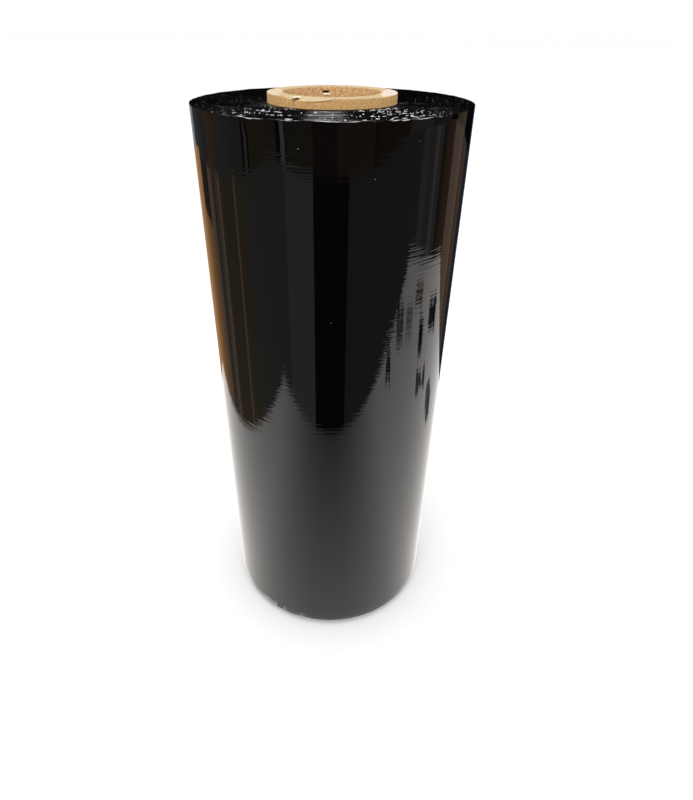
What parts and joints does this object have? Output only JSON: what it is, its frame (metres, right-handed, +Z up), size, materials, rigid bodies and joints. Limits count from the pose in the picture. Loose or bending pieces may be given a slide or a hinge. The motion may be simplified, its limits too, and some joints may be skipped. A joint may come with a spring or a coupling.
{
  "type": "stretch wrap roll",
  "caption": "Roll of glossy black stretch film wound tight on a kraft paperboard core that stands slightly proud at both ends, with a shaved and nicked upper rim.",
  "frame": {"origin": "centre of the core's lower end, on the surface that the roll stands on", "axes": "+Z up along the roll's axis; -Y is the front, the side of the core's shaved rim"},
  "size_m": [0.217, 0.217, 0.514],
  "materials": {
    "core_board": "matte kraft paperboard, paler and fibrous where it is cut",
    "film": "high-gloss black film, layered at the ends"
  },
  "bodies": {
    "root": {"core": "core_board", "film_roll": "film"}
  },
  "joints": []
}
